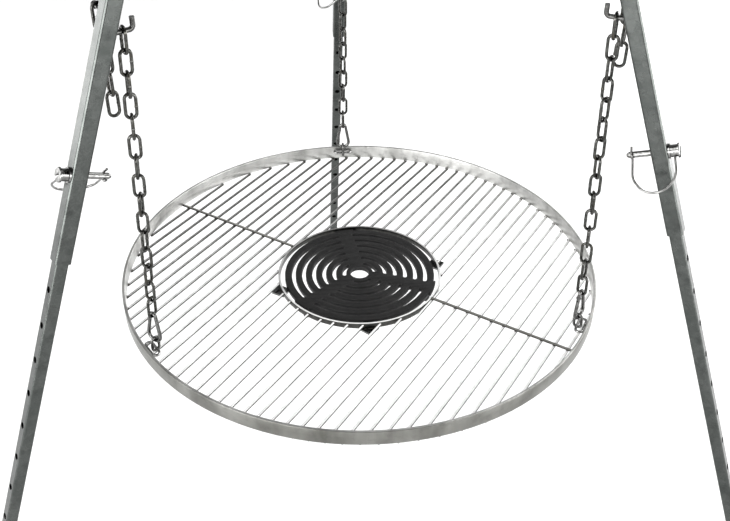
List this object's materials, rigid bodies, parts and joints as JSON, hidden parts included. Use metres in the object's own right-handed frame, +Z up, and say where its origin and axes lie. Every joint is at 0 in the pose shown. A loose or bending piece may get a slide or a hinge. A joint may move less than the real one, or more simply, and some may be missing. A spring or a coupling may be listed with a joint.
{
  "type": "campfire tripod grate",
  "caption": "Round steel cooking grate with a cast-iron centre insert, hung by chains from the telescopic legs of a camp tripod.",
  "frame": {"origin": "on the floor under the middle of the box round the feet", "axes": "+Z up, the rear leg toward +Y, the two front legs toward -Y"},
  "size_m": [1.207, 1.0502, 1.726],
  "materials": {
    "galvanised_tube": "hot-dip galvanised, satin with a faint spangle",
    "foot_rubber": "matt moulded rubber",
    "head_steel": "galvanised plate, satin",
    "bolt_zinc": "bright zinc",
    "pin_zinc": "bright zinc, lightly scratched",
    "hook_steel": "galvanised round bar",
    "chain_zinc": "zinc-coated wire, dulled",
    "snap_steel": "zinc-coated wire",
    "grate_steel": "brushed stainless, polished bars",
    "cast_iron": "satin black cast iron"
  },
  "bodies": {
    "head": {"head_ears": "head_steel", "head_plate": "head_steel", "head_stops": "head_steel", "hinge_bolts": "bolt_zinc", "hinge_nuts": "bolt_zinc", "hinge_washers": "bolt_zinc"},
    "grate": {"rim": "grate_steel", "grate_bars": "grate_steel", "cross_rods": "grate_steel", "centre_ring": "grate_steel", "ring_tabs": "grate_steel", "rim_eyes": "grate_steel"},
    "insert": {"iron_insert": "cast_iron"},
    "upper_leg_left": {"upper_leg_left": "galvanised_tube", "chain_hook_left": "hook_steel"},
    "lower_leg_left": {"lower_leg_left": "galvanised_tube", "foot_left": "foot_rubber"},
    "lock_pin_left": {"lock_pin_left": "pin_zinc"},
    "pin_bail_left": {"pin_bail_left": "pin_zinc"},
    "chain_left": {"joiner_left": "chain_zinc", "snap_left": "snap_steel", "snap_rivet_left": "snap_steel", "chain_left": "chain_zinc"},
    "snap_gate_left": {"snap_gate_left": "snap_steel"},
    "chain_tail_left": {"chain_tail_left": "chain_zinc"},
    "upper_leg_right": {"upper_leg_right": "galvanised_tube", "chain_hook_right": "hook_steel"},
    "lower_leg_right": {"lower_leg_right": "galvanised_tube", "foot_right": "foot_rubber"},
    "lock_pin_right": {"lock_pin_right": "pin_zinc"},
    "pin_bail_right": {"pin_bail_right": "pin_zinc"},
    "chain_right": {"joiner_right": "chain_zinc", "snap_right": "snap_steel", "snap_rivet_right": "snap_steel", "chain_right": "chain_zinc"},
    "snap_gate_right": {"snap_gate_right": "snap_steel"},
    "chain_tail_right": {"chain_tail_right": "chain_zinc"},
    "upper_leg_rear": {"upper_leg_rear": "galvanised_tube", "chain_hook_rear": "hook_steel"},
    "lower_leg_rear": {"lower_leg_rear": "galvanised_tube", "foot_rear": "foot_rubber"},
    "lock_pin_rear": {"lock_pin_rear": "pin_zinc"},
    "pin_bail_rear": {"pin_bail_rear": "pin_zinc"},
    "chain_rear": {"joiner_rear": "chain_zinc", "snap_rear": "snap_steel", "snap_rivet_rear": "snap_steel", "chain_rear": "chain_zinc"},
    "snap_gate_rear": {"snap_gate_rear": "snap_steel"},
    "chain_tail_rear": {"chain_tail_rear": "chain_zinc"}
  },
  "joints": [
    {"name": "grate_lift", "type": "slide", "parent": "head", "child": "grate", "axis": [0, 0, 1], "range_m": [0, 0.006]},
    {"name": "insert_lift", "type": "slide", "parent": "grate", "child": "insert", "axis": [0, 0, 1], "range_m": [0, 0.15]},
    {"name": "leg_fold_left", "type": "hinge", "parent": "head", "child": "upper_leg_left", "pos_m": [-0.03118, -0.18703, 1.703], "axis": [0.5, -0.866, 0], "range_deg": [0, 2.5]},
    {"name": "leg_extend_left", "type": "slide", "parent": "upper_leg_left", "child": "lower_leg_left", "axis": [-0.3047, -0.1759, -0.9361], "range_m": [0, 0.2]},
    {"name": "bail_open_left", "type": "hinge", "parent": "lock_pin_left", "child": "pin_bail_left", "pos_m": [-0.35332, -0.37302, 0.76084], "axis": [-0.1381, 0.7368, 0.6619], "range_deg": [0, 110], "stiffness_Nm_per_rad": 0.02, "springref_deg": -28.65},
    {"name": "pin_pull_left", "type": "slide", "parent": "upper_leg_left", "child": "lock_pin_left", "axis": [-0.8107, -0.468, 0.3518], "range_m": [0, 0.051]},
    {"name": "chain_swing_left", "type": "hinge", "parent": "grate", "child": "chain_left", "pos_m": [-0.28904, -0.3359, 0.466], "axis": [0.5, -0.866, 0], "range_deg": [-6, 0]},
    {"name": "gate_open_left", "type": "hinge", "parent": "chain_left", "child": "snap_gate_left", "pos_m": [-0.29149, -0.33144, 0.51474], "axis": [0.6149, 0.7876, -0.0412], "range_deg": [-20, 0], "stiffness_Nm_per_rad": 0.05, "springref_deg": 17.19},
    {"name": "tail_swing_left", "type": "hinge", "parent": "upper_leg_left", "child": "chain_tail_left", "pos_m": [-0.2863, -0.33432, 0.93261], "axis": [0.5, -0.866, 0], "range_deg": [-8, 8]},
    {"name": "leg_fold_right", "type": "hinge", "parent": "head", "child": "upper_leg_right", "pos_m": [0.03118, -0.18703, 1.703], "axis": [0.5, 0.866, 0], "range_deg": [0, 2.5]},
    {"name": "leg_extend_right", "type": "slide", "parent": "upper_leg_right", "child": "lower_leg_right", "axis": [0.3047, -0.1759, -0.9361], "range_m": [0, 0.2]},
    {"name": "bail_open_right", "type": "hinge", "parent": "lock_pin_right", "child": "pin_bail_right", "pos_m": [0.35332, -0.37302, 0.76084], "axis": [-0.569, -0.488, 0.6619], "range_deg": [0, 110], "stiffness_Nm_per_rad": 0.02, "springref_deg": -28.65},
    {"name": "pin_pull_right", "type": "slide", "parent": "upper_leg_right", "child": "lock_pin_right", "axis": [0.8107, -0.468, 0.3518], "range_m": [0, 0.051]},
    {"name": "chain_swing_right", "type": "hinge", "parent": "grate", "child": "chain_right", "pos_m": [0.28904, -0.3359, 0.466], "axis": [0.5, 0.866, 0], "range_deg": [-6, 0]},
    {"name": "gate_open_right", "type": "hinge", "parent": "chain_right", "child": "snap_gate_right", "pos_m": [0.28308, -0.3385, 0.51458], "axis": [-0.6683, 0.7427, -0.0422], "range_deg": [-20, 0], "stiffness_Nm_per_rad": 0.05, "springref_deg": 17.19},
    {"name": "tail_swing_right", "type": "hinge", "parent": "upper_leg_right", "child": "chain_tail_right", "pos_m": [0.27954, -0.33042, 0.92011], "axis": [0.5, 0.866, 0], "range_deg": [-8, 8]},
    {"name": "leg_fold_rear", "type": "hinge", "parent": "head", "child": "upper_leg_rear", "pos_m": [0, -0.13303, 1.703], "axis": [-1, 0, 0], "range_deg": [0, 2.5]},
    {"name": "leg_extend_rear", "type": "slide", "parent": "upper_leg_rear", "child": "lower_leg_rear", "axis": [0, 0.3518, -0.9361], "range_m": [0, 0.2]},
    {"name": "bail_open_rear", "type": "hinge", "parent": "lock_pin_rear", "child": "pin_bail_rear", "pos_m": [0, 0.23895, 0.76084], "axis": [0.7071, 0.2488, -0.6619], "range_deg": [0, 110], "stiffness_Nm_per_rad": 0.02, "springref_deg": -28.65},
    {"name": "pin_pull_rear", "type": "slide", "parent": "upper_leg_rear", "child": "lock_pin_rear", "axis": [0, 0.9361, 0.3518], "range_m": [0, 0.051]},
    {"name": "chain_swing_rear", "type": "hinge", "parent": "grate", "child": "chain_rear", "pos_m": [0, 0.16472, 0.466], "axis": [-1, 0, 0], "range_deg": [-6, 0]},
    {"name": "gate_open_rear", "type": "hinge", "parent": "chain_rear", "child": "snap_gate_rear", "pos_m": [0.00549, 0.16256, 0.51465], "axis": [0, -0.999, -0.0444], "range_deg": [-20, 0], "stiffness_Nm_per_rad": 0.05, "springref_deg": 17.19},
    {"name": "tail_swing_rear", "type": "hinge", "parent": "upper_leg_rear", "child": "chain_tail_rear", "pos_m": [0, 0.16507, 0.90811], "axis": [-1, 0, 0], "range_deg": [-8, 8]}
  ],
  "couplings": [
    {"joint": "pin_pull_left", "follows": "bail_open_left", "m_per_rad": 0.026044},
    {"joint": "chain_swing_left", "follows": "leg_fold_left", "ratio": -1.8711},
    {"joint": "pin_pull_right", "follows": "bail_open_right", "m_per_rad": 0.026044},
    {"joint": "chain_swing_right", "follows": "leg_fold_right", "ratio": -1.8711},
    {"joint": "pin_pull_rear", "follows": "bail_open_rear", "m_per_rad": 0.026044},
    {"joint": "chain_swing_rear", "follows": "leg_fold_rear", "ratio": -1.8711}
  ]
}
